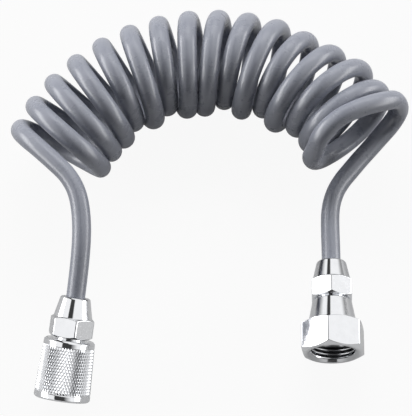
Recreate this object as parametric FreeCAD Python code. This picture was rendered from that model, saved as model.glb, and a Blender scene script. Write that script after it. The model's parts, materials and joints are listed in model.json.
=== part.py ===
"""Coiled bath-sprayer hose with a swivel coupling at each end, lying on a flat surface.

An 8 mm polyurethane hose is wound into a long coil, bent into an arch, and ends in
two free tails.  Each tail is pushed on the barbed nipple of a stem and clamped there
by a coned nut that squeezes a split ferrule.  The inlet stem carries a hexagonal
union nut and the outlet stem a knurled hand nut.  Both nuts spin on their stems and
are threaded G1/2 inside the mouth, where a flat washer lies.

Millimetres.  +X runs from the outlet side to the inlet side, +Y from the couplings
to the crown of the arch, and +Z is up from the surface.  The origin is under the
middle of the two couplings.

Each coupling is built about its own axis, Z.  A station is the distance along that
axis from the hose end of the clamp nut towards the mouth of the coupling.
"""
import FreeCAD, Part
import math
import os

# ---- hose ----------------------------------------------------------------------------
HOSE_DIAMETER = 8.0
HOSE_BORE = 5.5
COIL_DIAMETER = 47.0           # over the outside of the turns
COIL_END_BEVEL = 3.0
ARCH_RADIUS = 71.5             # of the coil's own axis
ARCH_CENTRE = (5.3, 52.5)
ARCH_FROM = -78.0              # degrees from +Y towards +X
ARCH_TO = 66.0

# ---- clamp nut, the same on both couplings -------------------------------------------
CLAMP_LENGTH = 17.0
CLAMP_CONE_LENGTH = 8.4
CLAMP_TIP_WALL = 2.15
CLAMP_TIP_CHAMFER = 0.5
CLAMP_FLATS = 17.0
CLAMP_CONE_INSET = 0.7         # the cone's base is this much smaller than the flats
CLAMP_END_INSET = 1.0          # and so is the turned end face
HOSE_CLEARANCE = 0.2           # hose to clamp bore, all round
CLAMP_SEAT_START = 5.6         # the taper that squeezes the ferrule
CLAMP_SEAT_LENGTH = 2.8
CLAMP_THREAD_LENGTH = 4.6
CLAMP_THREAD_STEP = 0.65       # lets the ferrule through; makes M12 x 1, drawn plain
THREAD_CLEARANCE = 0.1

# ---- ferrule ---------------------------------------------------------------------------
FERRULE_WALL = 1.15
FERRULE_LENGTH = 5.7
FERRULE_CLEARANCE = 0.05       # to the hose and to the clamp nut, all round
FERRULE_SLIT = 0.8
FERRULE_END_GAP = 0.4

# ---- stems -----------------------------------------------------------------------------
NIPPLE_LENGTH = 8.4
NIPPLE_WALL = 0.6
NIPPLE_CLEARANCE = 0.05        # core to hose bore, all round
BARB_RISE = 0.35               # how far a barb stands out of the core
BARB_COUNT = 3
BARB_PITCH = 2.3
HOSE_STOP_GAP = 0.1            # hose end to the boss face
WATERWAY = 7.0
WATERWAY_START = 3.0           # past the boss face
JOURNAL_STEP = 0.3             # the journal is this much proud of the clamp thread
JOURNAL_CLEARANCE = 0.05
JOURNAL_RELIEF = 0.4           # clamp nut to the step up to the journal
RING_GAP = 0.1                 # along the axis, between neighbours that slide

# ---- inlet coupling ----------------------------------------------------------------------
UNION_GAP = 1.0                # clamp nut to union nut
UNION_LENGTH = 23.4
UNION_CONE_LENGTH = 10.1
UNION_TOP_WALL = 2.15
UNION_CONE_INSET = 4.4         # the cone's base is this much smaller than the flats
UNION_WALL = 1.8               # from the countersink to a flat
UNION_TOP_INSET = 0.4          # turned faces of the hexagon, smaller than its flats
UNION_MOUTH_INSET = 1.4
UNION_LAND_LENGTH = 4.0
UNION_RELIEF = 1.75            # the bore opens out by this behind its land
UNION_NECK_RELIEF = 0.4
COLLAR_CLEARANCE = 0.5
COLLAR_THICKNESS = 2.0

# ---- outlet coupling -----------------------------------------------------------------------
KNURLED_GAP = 0.8              # clamp nut to knurled nut
KNURLED_LENGTH = 25.4
KNURLED_WALL = 2.58            # over the thread, at the mouth
KNURLED_TAPER = 2.4            # how much wider the mouth is than the top
KNURLED_TOP_CHAMFER = 0.8
KNURLED_MOUTH_CHAMFER = 0.7
KNURLED_WEB_LENGTH = 11.2
KNURLED_RECESS_STEP = 1.05     # recess to journal bore, all round
KNURLED_RECESS_DEPTH = 2.2
O_RING_HEIGHT = 1.4            # across the gland that squeezes it
O_RING_WIDTH = 1.9
O_RING_CONTACT = 0.9           # the flats that the squeeze makes inside and outside
O_RING_SETBACK = 5.7           # from the top of the knurled nut
O_RING_GROOVE_WIDTH = 2.2
O_RING_CLEARANCE = 0.02
SLIP_RING_THICKNESS = 0.6
SNAP_RING_THICKNESS = 1.0
SNAP_GROOVE_DEPTH = 0.6
SNAP_RING_OPENING = 50.0       # degrees

# ---- the G1/2 mouth, the same in both nuts ---------------------------------------------------
MOUTH_THREAD_DIAMETER = 18.64  # crests of the internal thread, drawn plain
COUNTERSINK_WIDTH = 1.38
COUNTERSINK_DEPTH = 1.0
UNDERCUT_DEPTH = 0.28          # of the room behind the thread, for the washer
WASHER_SETBACK = 1.7           # inlet washer's bore to the waterway, all round
WASHER_RING_CLEARANCE = 0.3    # outlet washer's bore to the recess of the rings
WASHER_CLEARANCE = 0.1
WASHER_THICKNESS = 2.0
UNION_THREAD_LENGTH = 7.4

# ---- where the couplings lie -------------------------------------------------------------------
INLET_AT = (56.1, 32.5)        # hose end of the inlet clamp nut, from above
INLET_NUT_ROLL = 20.0          # degrees from a flat lying uppermost towards +X
INLET_CLAMP_ROLL = 27.5
OUTLET_AT = (-51.9, 11.0)
OUTLET_ENTRY_HEIGHT = 29.1     # of the hose where it enters the outlet clamp nut
OUTLET_HEADING = 9.0           # degrees from -Y towards -X
OUTLET_CLAMP_ROLL = -13.0

# ---- the tails, from each coupling to the coil ---------------------------------------------------
TAIL_STRAIGHT = 5.0            # from the end of a clamp nut to its tail's first bend
OUTLET_TAIL = [
    (-49.3, 33.0, 38.6), (-49.7, 44.7, 41.0), (-51.5, 53.6, 42.2),
    (-55.4, 60.7, 42.8), (-60.4, 65.9, 43.0), (-65.7, 70.6, 42.8),
]
INLET_TAIL = [
    (55.4, 55.0, 13.0), (56.9, 64.1, 12.5), (61.1, 71.4, 12.8),
    (67.2, 78.1, 13.9), (73.1, 85.0, 15.6), (79.1, 90.8, 17.8),
]
ARC_SHARE = 0.45               # of the shorter run, taken by the arc at a point

# ---- sizes that follow from the ones above ---------------------------------------------------------
CLAMP_BORE = HOSE_DIAMETER + 2 * HOSE_CLEARANCE
CLAMP_TIP_DIAMETER = CLAMP_BORE + 2 * CLAMP_TIP_WALL
FERRULE_BORE = HOSE_DIAMETER + 2 * FERRULE_CLEARANCE
FERRULE_DIAMETER = FERRULE_BORE + 2 * FERRULE_WALL
CLAMP_BARREL = FERRULE_DIAMETER + 2 * FERRULE_CLEARANCE
STEM_THREAD_DIAMETER = CLAMP_BARREL + 2 * CLAMP_THREAD_STEP
HOSE_END = CLAMP_LENGTH - CLAMP_THREAD_LENGTH
BOSS_FACE = HOSE_END + HOSE_STOP_GAP
NIPPLE_DIAMETER = HOSE_BORE - 2 * NIPPLE_CLEARANCE
NIPPLE_BORE = NIPPLE_DIAMETER - 2 * NIPPLE_WALL
JOURNAL_START = CLAMP_LENGTH + JOURNAL_RELIEF
JOURNAL_DIAMETER = STEM_THREAD_DIAMETER + 2 * JOURNAL_STEP
JOURNAL_BORE = JOURNAL_DIAMETER + 2 * JOURNAL_CLEARANCE
MOUTH_COUNTERSINK = MOUTH_THREAD_DIAMETER + 2 * COUNTERSINK_WIDTH
UNDERCUT_DIAMETER = MOUTH_THREAD_DIAMETER + 2 * UNDERCUT_DEPTH
WASHER_DIAMETER = UNDERCUT_DIAMETER - 2 * WASHER_CLEARANCE
WASHER_ROOM = WASHER_THICKNESS + 2 * RING_GAP

UNION_START = CLAMP_LENGTH + UNION_GAP
UNION_MOUTH = UNION_START + UNION_LENGTH
UNION_THREAD_START = UNION_MOUTH - COUNTERSINK_DEPTH - UNION_THREAD_LENGTH
UNION_SHOULDER = UNION_THREAD_START - WASHER_ROOM - COLLAR_THICKNESS - RING_GAP
UNION_TOP_DIAMETER = JOURNAL_BORE + 2 * UNION_TOP_WALL
UNION_FLATS = MOUTH_COUNTERSINK + 2 * UNION_WALL
UNION_CONE_DIAMETER = UNION_FLATS - UNION_CONE_INSET
UNION_RELIEF_DIAMETER = JOURNAL_BORE + 2 * UNION_RELIEF
UNION_NECK_DIAMETER = JOURNAL_DIAMETER - 2 * UNION_NECK_RELIEF
COLLAR_START = UNION_SHOULDER + RING_GAP
COLLAR_END = COLLAR_START + COLLAR_THICKNESS
COLLAR_DIAMETER = UNDERCUT_DIAMETER - 2 * COLLAR_CLEARANCE
INLET_WASHER_BORE = WATERWAY + 2 * WASHER_SETBACK

KNURLED_START = CLAMP_LENGTH + KNURLED_GAP
KNURLED_MOUTH = KNURLED_START + KNURLED_LENGTH
KNURLED_MOUTH_DIAMETER = MOUTH_THREAD_DIAMETER + 2 * KNURLED_WALL
KNURLED_TOP_DIAMETER = KNURLED_MOUTH_DIAMETER - KNURLED_TAPER
KNURLED_RECESS_DIAMETER = JOURNAL_BORE + 2 * KNURLED_RECESS_STEP
OUTLET_WASHER_BORE = KNURLED_RECESS_DIAMETER + 2 * WASHER_RING_CLEARANCE
WEB_END = KNURLED_START + KNURLED_WEB_LENGTH
RECESS_START = WEB_END - KNURLED_RECESS_DEPTH
SLIP_RING_START = RECESS_START + RING_GAP
SNAP_RING_START = SLIP_RING_START + SLIP_RING_THICKNESS + RING_GAP
SNAP_GROOVE_DIAMETER = JOURNAL_DIAMETER - 2 * SNAP_GROOVE_DEPTH
O_RING_STATION = KNURLED_START + O_RING_SETBACK
O_RING_GROOVE = JOURNAL_DIAMETER - 2 * O_RING_HEIGHT

INLET_HEIGHT = UNION_FLATS / math.sqrt(3) * math.cos(math.radians(30 - INLET_NUT_ROLL))


def barrel_diameter(station):
    """Across the knurled nut's tapered outside."""
    share = (station - KNURLED_START) / KNURLED_LENGTH
    return KNURLED_TOP_DIAMETER + share * (KNURLED_MOUTH_DIAMETER - KNURLED_TOP_DIAMETER)


def pitch_that_rests():
    """Degrees that the outlet coupling points down, for its rim to touch the surface."""
    along = KNURLED_MOUTH - KNURLED_MOUTH_CHAMFER
    across = barrel_diameter(along) / 2
    rise = OUTLET_ENTRY_HEIGHT / math.hypot(along, across)
    return math.degrees(math.asin(rise) - math.atan2(across, along))


# ---- tools -----------------------------------------------------------------------------------------
def turned(outline):
    """A solid of revolution about Z, from its (diameter, station) corners."""
    corners = [FreeCAD.Vector(diameter / 2, 0, station) for diameter, station in outline]
    face = Part.Face(Part.makePolygon(corners + corners[:1]))
    return face.revolve(FreeCAD.Vector(0, 0, 0), FreeCAD.Vector(0, 0, 1), 360)


def ring(bore, diameter, start, end):
    return turned([(bore, start), (diameter, start), (diameter, end), (bore, end)])


def chamfered_hexagon(flats, start, end, start_inset, end_inset):
    """A hexagon with a flat facing +Y, its corners turned off at 30 degrees at both ends."""
    corner = 2 * flats / math.sqrt(3)
    start_face, end_face = flats - start_inset, flats - end_inset
    drop = math.tan(math.radians(30)) / 2
    envelope = turned([
        (0, start), (start_face, start), (corner, start + (corner - start_face) * drop),
        (corner, end - (corner - end_face) * drop), (end_face, end), (0, end),
    ])
    angles = [math.radians(60 * side) for side in range(7)]
    outline = [FreeCAD.Vector(corner / 2 * math.cos(a), corner / 2 * math.sin(a), start) for a in angles]
    prism = Part.Face(Part.makePolygon(outline)).extrude(FreeCAD.Vector(0, 0, end - start))
    return prism.common(envelope)


def circle_edges(shape, diameter, station):
    """The full circles of a turned shape that have this diameter and station."""
    return [
        edge for edge in shape.Edges
        if isinstance(edge.Curve, Part.Circle)
        and math.isclose(2 * edge.Curve.Radius, diameter, abs_tol=0.01)
        and math.isclose(edge.Curve.Center.z, station, abs_tol=0.01)
    ]


def mouth_bore(thread_start, mouth):
    """What the G1/2 mouth removes: undercut, thread and countersink."""
    return turned([
        (0, thread_start - WASHER_ROOM), (UNDERCUT_DIAMETER, thread_start - WASHER_ROOM),
        (UNDERCUT_DIAMETER, thread_start), (MOUTH_THREAD_DIAMETER, thread_start),
        (MOUTH_THREAD_DIAMETER, mouth - COUNTERSINK_DEPTH), (MOUTH_COUNTERSINK, mouth), (0, mouth),
    ])


def coupling_placement(at, height, heading, pitch):
    """Takes station 0 to its place and turns the axis towards the coupling's mouth.

    The mouth points to -Y, turned by the heading towards -X and by the pitch down.
    """
    turn = FreeCAD.Rotation(FreeCAD.Vector(0, 0, 1), -heading)
    tip = FreeCAD.Rotation(FreeCAD.Vector(1, 0, 0), 90 + pitch)
    return FreeCAD.Placement(FreeCAD.Vector(at[0], at[1], height), turn * tip)


def placed(shape, placement, roll=0.0):
    """The shape on its coupling's axis, rolled about it towards +X."""
    rolled = FreeCAD.Placement(FreeCAD.Vector(0, 0, 0), FreeCAD.Rotation(FreeCAD.Vector(0, 0, 1), -roll))
    return shape.transformed(placement.multiply(rolled).toMatrix(), True)


# ---- pieces that both couplings share --------------------------------------------------------------
def clamp_nut():
    """A cone towards the hose and a hexagon towards the coupling, bored in steps."""
    base = CLAMP_FLATS - CLAMP_CONE_INSET
    cone = turned([(0, 0), (CLAMP_TIP_DIAMETER, 0), (base, CLAMP_CONE_LENGTH), (0, CLAMP_CONE_LENGTH)])
    cone = cone.makeChamfer(CLAMP_TIP_CHAMFER, circle_edges(cone, CLAMP_TIP_DIAMETER, 0))
    hexagon = chamfered_hexagon(
        CLAMP_FLATS, CLAMP_CONE_LENGTH, CLAMP_LENGTH, CLAMP_CONE_INSET, CLAMP_END_INSET)
    seat_end = CLAMP_SEAT_START + CLAMP_SEAT_LENGTH
    thread = STEM_THREAD_DIAMETER + 2 * THREAD_CLEARANCE
    bore = turned([
        (0, 0), (CLAMP_BORE, 0), (CLAMP_BORE, CLAMP_SEAT_START), (CLAMP_BARREL, seat_end),
        (CLAMP_BARREL, HOSE_END), (thread, HOSE_END), (thread, CLAMP_LENGTH), (0, CLAMP_LENGTH),
    ])
    return cone.fuse(hexagon).cut(bore)


def ferrule():
    """A split olive round the hose, with a nose that fits the clamp nut's taper."""
    end = HOSE_END - FERRULE_END_GAP
    start = end - FERRULE_LENGTH
    slope = (CLAMP_BARREL - CLAMP_BORE) / CLAMP_SEAT_LENGTH
    lip = CLAMP_BORE + (start - CLAMP_SEAT_START) * slope - 2 * FERRULE_CLEARANCE
    shoulder = start + (FERRULE_DIAMETER - lip) / slope
    olive = turned([
        (FERRULE_BORE, start), (lip, start), (FERRULE_DIAMETER, shoulder),
        (FERRULE_DIAMETER, end), (FERRULE_BORE, end),
    ])
    slit = Part.makeBox(
        FERRULE_DIAMETER, FERRULE_SLIT, FERRULE_LENGTH, FreeCAD.Vector(0, -FERRULE_SLIT / 2, start))
    return olive.cut(slit)


def nipple_outline():
    """The barbed nipple and the threaded boss, from the nose to the clamp nut's end."""
    nose = BOSS_FACE - NIPPLE_LENGTH
    outline = [(NIPPLE_BORE, nose), (NIPPLE_DIAMETER, nose)]
    for barb in range(BARB_COUNT):
        foot = nose + barb * BARB_PITCH
        crest = foot + BARB_PITCH
        outline += [(NIPPLE_DIAMETER + 2 * BARB_RISE, crest), (NIPPLE_DIAMETER, crest)]
    outline += [
        (NIPPLE_DIAMETER, BOSS_FACE), (STEM_THREAD_DIAMETER, BOSS_FACE),
        (STEM_THREAD_DIAMETER, JOURNAL_START), (JOURNAL_DIAMETER, JOURNAL_START),
    ]
    return outline


def stem(outline, end):
    """A turned stem with its waterway, from an outline that ends at the mouth side."""
    waterway = [
        (WATERWAY, end), (WATERWAY, BOSS_FACE + WATERWAY_START), (NIPPLE_BORE, BOSS_FACE + WATERWAY_START),
    ]
    return turned(nipple_outline() + outline + waterway)


# ---- inlet coupling ----------------------------------------------------------------------------------
def union_nut():
    """A cone and a hexagon over a G1/2 mouth, turning on the stem behind its collar."""
    hex_start = UNION_START + UNION_CONE_LENGTH
    cone = turned([
        (0, UNION_START), (UNION_TOP_DIAMETER, UNION_START), (UNION_CONE_DIAMETER, hex_start), (0, hex_start)])
    hexagon = chamfered_hexagon(UNION_FLATS, hex_start, UNION_MOUTH, UNION_TOP_INSET, UNION_MOUTH_INSET)
    land_end = UNION_START + UNION_LAND_LENGTH
    bore = turned([
        (0, UNION_START), (JOURNAL_BORE, UNION_START), (JOURNAL_BORE, land_end),
        (UNION_RELIEF_DIAMETER, UNION_SHOULDER), (UNDERCUT_DIAMETER, UNION_SHOULDER),
        (UNDERCUT_DIAMETER, COLLAR_END), (0, COLLAR_END),
    ])
    return cone.fuse(hexagon).cut(bore).cut(mouth_bore(UNION_THREAD_START, UNION_MOUTH))


def inlet_stem():
    """The nipple, the journal that the union nut turns on, and the collar that holds it."""
    journal_end = UNION_START + UNION_LAND_LENGTH + JOURNAL_RELIEF
    outline = [
        (JOURNAL_DIAMETER, journal_end), (UNION_NECK_DIAMETER, journal_end),
        (UNION_NECK_DIAMETER, COLLAR_START), (COLLAR_DIAMETER, COLLAR_START), (COLLAR_DIAMETER, COLLAR_END),
    ]
    return stem(outline, COLLAR_END)


def inlet_washer():
    start = COLLAR_END + RING_GAP
    return ring(INLET_WASHER_BORE, WASHER_DIAMETER, start, start + WASHER_THICKNESS)


# ---- outlet coupling -----------------------------------------------------------------------------------
def knurled_nut():
    """A tapered barrel with a thick web that turns on the stem, over a G1/2 mouth."""
    top, rim = KNURLED_START + KNURLED_TOP_CHAMFER, KNURLED_MOUTH - KNURLED_MOUTH_CHAMFER
    barrel = turned([
        (0, KNURLED_START), (KNURLED_TOP_DIAMETER - 2 * KNURLED_TOP_CHAMFER, KNURLED_START),
        (barrel_diameter(top), top), (barrel_diameter(rim), rim),
        (KNURLED_MOUTH_DIAMETER - 2 * KNURLED_MOUTH_CHAMFER, KNURLED_MOUTH), (0, KNURLED_MOUTH),
    ])
    bore = turned([
        (0, KNURLED_START), (JOURNAL_BORE, KNURLED_START), (JOURNAL_BORE, RECESS_START),
        (KNURLED_RECESS_DIAMETER, RECESS_START), (KNURLED_RECESS_DIAMETER, WEB_END), (0, WEB_END),
    ])
    return barrel.cut(bore).cut(mouth_bore(WEB_END + WASHER_ROOM, KNURLED_MOUTH))


def outlet_stem():
    """The nipple and a long journal with grooves for the O-ring and the snap ring."""
    groove = O_RING_GROOVE_WIDTH / 2
    snap_end = SNAP_RING_START + SNAP_RING_THICKNESS
    outline = [
        (JOURNAL_DIAMETER, O_RING_STATION - groove), (O_RING_GROOVE, O_RING_STATION - groove),
        (O_RING_GROOVE, O_RING_STATION + groove), (JOURNAL_DIAMETER, O_RING_STATION + groove),
        (JOURNAL_DIAMETER, SNAP_RING_START), (SNAP_GROOVE_DIAMETER, SNAP_RING_START),
        (SNAP_GROOVE_DIAMETER, snap_end), (JOURNAL_DIAMETER, snap_end), (JOURNAL_DIAMETER, WEB_END),
    ]
    return stem(outline, WEB_END)


def o_ring():
    """A ring in the stem's groove, squeezed flat where it touches stem and nut."""
    inner, outer = O_RING_GROOVE + 2 * O_RING_CLEARANCE, JOURNAL_DIAMETER - 2 * O_RING_CLEARANCE
    flat, side = O_RING_CONTACT / 2, O_RING_WIDTH / 2
    round_off = side - flat
    section = [
        (inner, -flat), (inner + 2 * round_off, -side), (outer - 2 * round_off, -side), (outer, -flat),
        (outer, flat), (outer - 2 * round_off, side), (inner + 2 * round_off, side), (inner, flat),
    ]
    return turned([(diameter, O_RING_STATION + offset) for diameter, offset in section])


def slip_ring():
    diameter = KNURLED_RECESS_DIAMETER - 2 * WASHER_CLEARANCE
    return ring(JOURNAL_BORE, diameter, SLIP_RING_START, SLIP_RING_START + SLIP_RING_THICKNESS)


def snap_ring():
    """An open spring ring in the stem's groove."""
    bore = SNAP_GROOVE_DIAMETER + 2 * JOURNAL_CLEARANCE
    diameter = KNURLED_RECESS_DIAMETER - 4 * WASHER_CLEARANCE
    end = SNAP_RING_START + SNAP_RING_THICKNESS
    face = Part.Face(Part.makePolygon([
        FreeCAD.Vector(radius, 0, station)
        for radius, station in (
            (bore / 2, SNAP_RING_START), (diameter / 2, SNAP_RING_START),
            (diameter / 2, end), (bore / 2, end), (bore / 2, SNAP_RING_START))
    ]))
    return face.revolve(FreeCAD.Vector(0, 0, 0), FreeCAD.Vector(0, 0, 1), 360 - SNAP_RING_OPENING)


def outlet_washer():
    start = WEB_END + RING_GAP
    return ring(OUTLET_WASHER_BORE, WASHER_DIAMETER, start, start + WASHER_THICKNESS)


# ---- hose --------------------------------------------------------------------------------------------
def rounded_path(points):
    """Straight runs joined by arcs tangent to both, with the arcs' radii."""
    edges, radii = [], []
    last = points[0]
    for before, corner, after in zip(points, points[1:], points[2:]):
        back, ahead = before - corner, after - corner
        reach = ARC_SHARE * min(back.Length, ahead.Length)
        half_turn = (math.pi - back.getAngle(ahead)) / 2
        radius = reach / math.tan(half_turn)
        back.normalize()
        ahead.normalize()
        inward = (back + ahead).normalize()
        middle = corner + inward * (radius / math.cos(half_turn) - radius)
        start, end = corner + back * reach, corner + ahead * reach
        edges += [Part.LineSegment(last, start).toShape(), Part.Arc(start, middle, end).toShape()]
        radii.append(radius)
        last = end
    edges.append(Part.LineSegment(last, points[-1]).toShape())
    return Part.Wire(edges), radii


def hose_tail(name, placement, route):
    """A length of hose from inside the clamp nut to the coil, by a hand-laid route."""
    hose_end, clear_of_nut = (
        placement.multVec(FreeCAD.Vector(0, 0, station)) for station in (HOSE_END, -TAIL_STRAIGHT))
    points = [hose_end, clear_of_nut] + [FreeCAD.Vector(*point) for point in route]
    path, radii = rounded_path(points)
    direction = points[1] - points[0]
    outside, inside = (
        path.makePipeShell([Part.Wire(Part.makeCircle(diameter / 2, hose_end, direction))], True, False)
        for diameter in (HOSE_DIAMETER, HOSE_BORE)
    )
    tail = outside.cut(inside)
    section = math.pi / 4 * (HOSE_DIAMETER ** 2 - HOSE_BORE ** 2)
    print(f"{name}: length {path.Length:.1f}, radii", [round(radius, 1) for radius in radii],
          f"volume {tail.Volume:.1f}, section times length {section * path.Length:.1f}")
    return tail


def hose_coil():
    """The body of the coil: one arched round bar as thick as its turns, with bevelled ends."""
    height = COIL_DIAMETER / 2
    start = math.radians(ARCH_FROM)
    centre = FreeCAD.Vector(ARCH_CENTRE[0], ARCH_CENTRE[1], height)
    outward = FreeCAD.Vector(math.sin(start), math.cos(start), 0)
    along = FreeCAD.Vector(math.cos(start), -math.sin(start), 0)
    end_face = Part.Face(Part.Wire(Part.makeCircle(COIL_DIAMETER / 2, centre + outward * ARCH_RADIUS, along)))
    bar = end_face.revolve(centre, FreeCAD.Vector(0, 0, -1), ARCH_TO - ARCH_FROM)
    rims = [edge for edge in bar.Edges if math.isclose(edge.Curve.Radius, COIL_DIAMETER / 2, abs_tol=0.01)]
    return bar.makeChamfer(COIL_END_BEVEL, rims)


def build():
    """Every piece of the hose in its place, by name."""
    inlet = coupling_placement(INLET_AT, INLET_HEIGHT, 0.0, 0.0)
    outlet = coupling_placement(OUTLET_AT, OUTLET_ENTRY_HEIGHT, OUTLET_HEADING, pitch_that_rests())
    return {
        "hose_coil": hose_coil(),
        "inlet_hose_tail": hose_tail("inlet tail", inlet, INLET_TAIL),
        "outlet_hose_tail": hose_tail("outlet tail", outlet, OUTLET_TAIL),
        "inlet_clamp_nut": placed(clamp_nut(), inlet, INLET_CLAMP_ROLL),
        "inlet_ferrule": placed(ferrule(), inlet),
        "inlet_stem": placed(inlet_stem(), inlet),
        "inlet_union_nut": placed(union_nut(), inlet, INLET_NUT_ROLL),
        "inlet_washer": placed(inlet_washer(), inlet),
        "outlet_clamp_nut": placed(clamp_nut(), outlet, OUTLET_CLAMP_ROLL),
        "outlet_ferrule": placed(ferrule(), outlet),
        "outlet_stem": placed(outlet_stem(), outlet),
        "outlet_knurled_nut": placed(knurled_nut(), outlet),
        "outlet_o_ring": placed(o_ring(), outlet),
        "outlet_slip_ring": placed(slip_ring(), outlet),
        "outlet_snap_ring": placed(snap_ring(), outlet),
        "outlet_washer": placed(outlet_washer(), outlet),
    }


os.makedirs("parts", exist_ok=True)
for node, shape in build().items():
    shape.exportStep(os.path.join("parts", node + ".step"))
    print(f"{node}: {shape.ShapeType}, {len(shape.Solids)} solid, {shape.Volume:.1f} mm3")
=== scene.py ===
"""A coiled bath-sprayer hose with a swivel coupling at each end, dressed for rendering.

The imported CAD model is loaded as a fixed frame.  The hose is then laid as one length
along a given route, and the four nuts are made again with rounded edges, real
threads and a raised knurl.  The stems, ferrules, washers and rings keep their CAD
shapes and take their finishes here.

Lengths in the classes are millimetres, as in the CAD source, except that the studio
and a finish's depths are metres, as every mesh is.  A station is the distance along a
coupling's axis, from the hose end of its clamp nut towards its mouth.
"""
from __future__ import annotations

import enum
import json
import logging
import math
from dataclasses import dataclass
from typing import Any, Sequence

import bmesh
import bpy
import numpy as np
from mathutils import Matrix, Vector

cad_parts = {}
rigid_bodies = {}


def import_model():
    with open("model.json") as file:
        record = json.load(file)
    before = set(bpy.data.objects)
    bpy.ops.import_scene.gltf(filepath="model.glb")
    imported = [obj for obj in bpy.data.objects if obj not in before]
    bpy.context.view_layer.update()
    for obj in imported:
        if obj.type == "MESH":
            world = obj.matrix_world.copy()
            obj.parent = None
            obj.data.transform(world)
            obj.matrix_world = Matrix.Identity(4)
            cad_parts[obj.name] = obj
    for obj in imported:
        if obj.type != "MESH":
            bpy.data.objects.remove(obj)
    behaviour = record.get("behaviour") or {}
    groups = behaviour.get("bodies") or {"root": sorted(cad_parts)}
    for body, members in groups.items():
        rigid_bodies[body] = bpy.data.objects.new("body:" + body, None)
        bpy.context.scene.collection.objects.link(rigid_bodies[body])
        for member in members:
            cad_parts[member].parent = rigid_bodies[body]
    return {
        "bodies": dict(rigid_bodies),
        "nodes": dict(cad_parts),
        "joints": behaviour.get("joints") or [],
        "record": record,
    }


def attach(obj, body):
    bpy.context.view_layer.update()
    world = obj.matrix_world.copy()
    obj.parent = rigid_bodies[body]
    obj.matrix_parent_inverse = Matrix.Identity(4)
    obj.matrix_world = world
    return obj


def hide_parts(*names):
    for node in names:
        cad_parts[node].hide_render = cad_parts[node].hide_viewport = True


LOG = logging.getLogger("bath_hose")
MM = 0.001
MERGE_DISTANCE = 2e-6
SHARP_ANGLE = math.radians(34)
CHAMFER_SLOPE = math.tan(math.radians(30))
ORIGIN = (0.0, 0.0, 0.0)
WHITE = (1.0, 1.0, 1.0)
Point = tuple[float, float, float]
Colour = tuple[float, float, float]
Span = tuple[float, float]
Ramp = tuple[float, float, float, float]
Material = bpy.types.Material
Mesh = bpy.types.Mesh
Piece = bpy.types.Object
Socket = bpy.types.NodeSocket
Outputs = bpy.types.bpy_prop_collection
SOCKET_TYPES = {
    float: "NodeSocketFloat", int: "NodeSocketInt", tuple: "NodeSocketVector", Material: "NodeSocketMaterial"}


class Slot(enum.Enum):
    """The record's material slots."""

    HOSE = "hose"
    CHROME = "chrome"


class Body(enum.Enum):
    """The moving groups of the CAD model."""

    HOSE = "hose"
    INLET_NUT = "inlet_nut"
    OUTLET_NUT = "outlet_nut"


class Side(enum.Enum):
    """The two ends of the hose."""

    INLET = "inlet"
    OUTLET = "outlet"


# ---- node trees ----


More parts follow.
